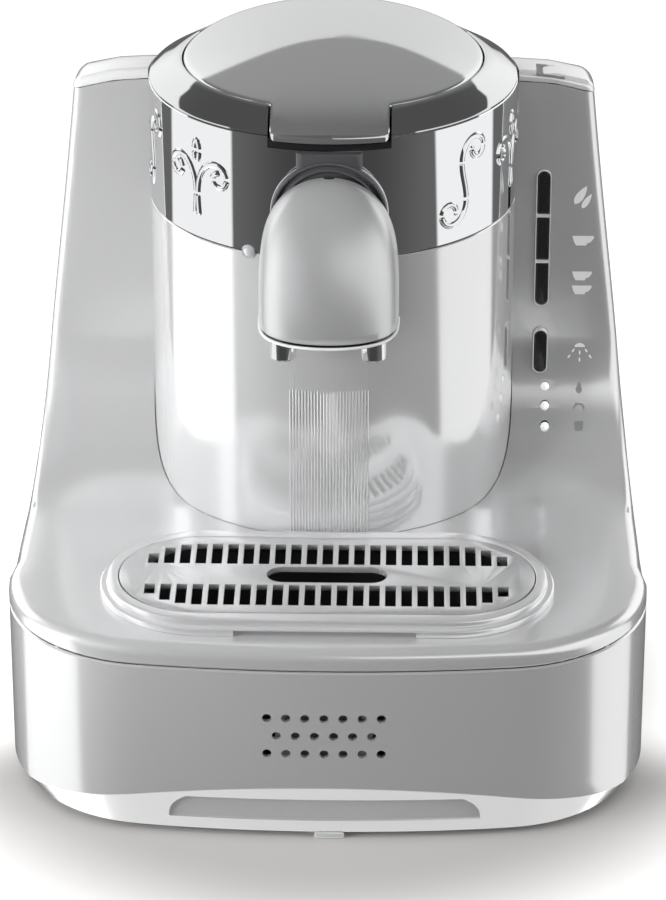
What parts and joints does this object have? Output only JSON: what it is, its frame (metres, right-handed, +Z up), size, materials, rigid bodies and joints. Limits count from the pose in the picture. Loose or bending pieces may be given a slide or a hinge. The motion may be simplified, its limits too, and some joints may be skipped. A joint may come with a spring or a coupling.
{
  "type": "electric turkish coffee maker",
  "caption": "Electric turkish coffee maker: round brewing column with flip lid, chrome band and twin spout, push buttons, rear water tank and drip tray in a wide base.",
  "frame": {"origin": "centre of the overall box, on the ground plane under the feet", "axes": "+Z up, -Y towards the user and the spout, +X to the side with the buttons"},
  "size_m": [0.266, 0.3, 0.286],
  "materials": {
    "housing_silver": "gloss silver",
    "column_silver": "gloss silver",
    "band_chrome": "mirror with a printed scroll pattern",
    "ring_silver": "gloss silver",
    "lid_silver": "gloss silver",
    "spout_silver": "gloss silver",
    "nozzle_steel": "satin",
    "tray_silver": "gloss silver",
    "grate_silver": "gloss silver",
    "collar_black": "semi-gloss black",
    "button_black": "gloss black",
    "frame_silver": "gloss silver",
    "lens_white": "clear lens, lit white",
    "inner_plastic": "matt grey",
    "pan_plastic": "matt dark grey",
    "rubber_black": "matt",
    "silicone_clear": "milky silicone",
    "pot_steel": "satin",
    "heater_metal": "cast",
    "element_steel": "oxidised",
    "thermostat_steel": "plain",
    "sensor_ceramic": "plain",
    "tank_clear": "smoked clear",
    "pump_black": "matt",
    "board_green": "solder mask",
    "switch_black": "matt",
    "speaker_black": "matt",
    "bracket_steel": "zinc plated"
  },
  "bodies": {
    "housing": {"base_shell": "housing_silver", "body_shell": "housing_silver", "front_foot": "housing_silver", "column_shell": "column_silver", "chrome_band": "band_chrome", "top_ring": "ring_silver", "ring_liner": "collar_black", "spout_socket": "collar_black", "button_frames": "frame_silver", "status_lenses": "lens_white", "steam_lens": "lens_white", "brew_housing": "inner_plastic", "inner_bulkhead": "inner_plastic", "outlet_valve": "inner_plastic", "outlet_nipple": "inner_plastic", "valve_seat": "inner_plastic", "base_pan": "pan_plastic", "rear_cover": "pan_plastic", "rubber_feet": "rubber_black", "cable_gland": "rubber_black", "pot_gasket": "rubber_black", "pump_mounts": "rubber_black", "feed_hose": "silicone_clear", "riser_hose": "silicone_clear", "brew_pot": "pot_steel", "heater_plate": "heater_metal", "heating_element": "element_steel", "thermostat": "thermostat_steel", "temperature_sensor": "sensor_ceramic", "water_pump": "pump_black", "power_board": "board_green", "button_board": "board_green", "tact_switches": "switch_black", "speaker": "speaker_black", "speaker_bracket": "bracket_steel", "base_screws": "bracket_steel", "cover_screws": "bracket_steel", "board_screws": "bracket_steel", "lid_hinge_pin": "bracket_steel"},
    "lid": {"lid": "lid_silver", "lid_liner": "inner_plastic"},
    "power_button": {"power_button": "button_black"},
    "one_cup_button": {"one_cup_button": "button_black"},
    "two_cup_button": {"two_cup_button": "button_black"},
    "rinse_button": {"rinse_button": "button_black"},
    "drip_tank": {"drip_tank": "tray_silver"},
    "drip_grate": {"drip_grate": "grate_silver"},
    "water_tank": {"water_tank": "tank_clear", "tank_stub": "inner_plastic", "cover_pins": "bracket_steel"},
    "tank_cover": {"tank_cover": "housing_silver"},
    "spout": {"spout_cover": "spout_silver", "spout_plate": "spout_silver", "spout_manifold": "inner_plastic", "spout_nozzles": "nozzle_steel"}
  },
  "joints": [
    {"name": "lid_flip", "type": "hinge", "parent": "housing", "child": "lid", "pos_m": [0, 0.0968, 0.2765], "axis": [-1, 0, 0], "range_deg": [0, 95]},
    {"name": "power_button_press", "type": "slide", "parent": "housing", "child": "power_button", "axis": [0, 1, 0], "range_m": [0, 0.0008], "stiffness_N_per_m": 400, "springref_m": -0.0005},
    {"name": "one_cup_button_press", "type": "slide", "parent": "housing", "child": "one_cup_button", "axis": [0, 1, 0], "range_m": [0, 0.0008], "stiffness_N_per_m": 400, "springref_m": -0.0005},
    {"name": "two_cup_button_press", "type": "slide", "parent": "housing", "child": "two_cup_button", "axis": [0, 1, 0], "range_m": [0, 0.0008], "stiffness_N_per_m": 400, "springref_m": -0.0005},
    {"name": "rinse_button_press", "type": "slide", "parent": "housing", "child": "rinse_button", "axis": [0, 1, 0], "range_m": [0, 0.0008], "stiffness_N_per_m": 400, "springref_m": -0.0005},
    {"name": "drip_tank_lift", "type": "slide", "parent": "housing", "child": "drip_tank", "axis": [0, 0, 1], "range_m": [0, 0.06]},
    {"name": "drip_grate_lift", "type": "slide", "parent": "drip_tank", "child": "drip_grate", "axis": [0, 0, 1], "range_m": [0, 0.02]},
    {"name": "water_tank_lift", "type": "slide", "parent": "housing", "child": "water_tank", "axis": [0, 0, 1], "range_m": [0, 0.13]},
    {"name": "tank_cover_flip", "type": "hinge", "parent": "water_tank", "child": "tank_cover", "pos_m": [0, 0.1456, 0.21671], "axis": [-1, 0, 0], "range_deg": [0, 75]},
    {"name": "spout_pull", "type": "slide", "parent": "housing", "child": "spout", "axis": [0, -1, 0], "range_m": [0, 0.03]}
  ]
}
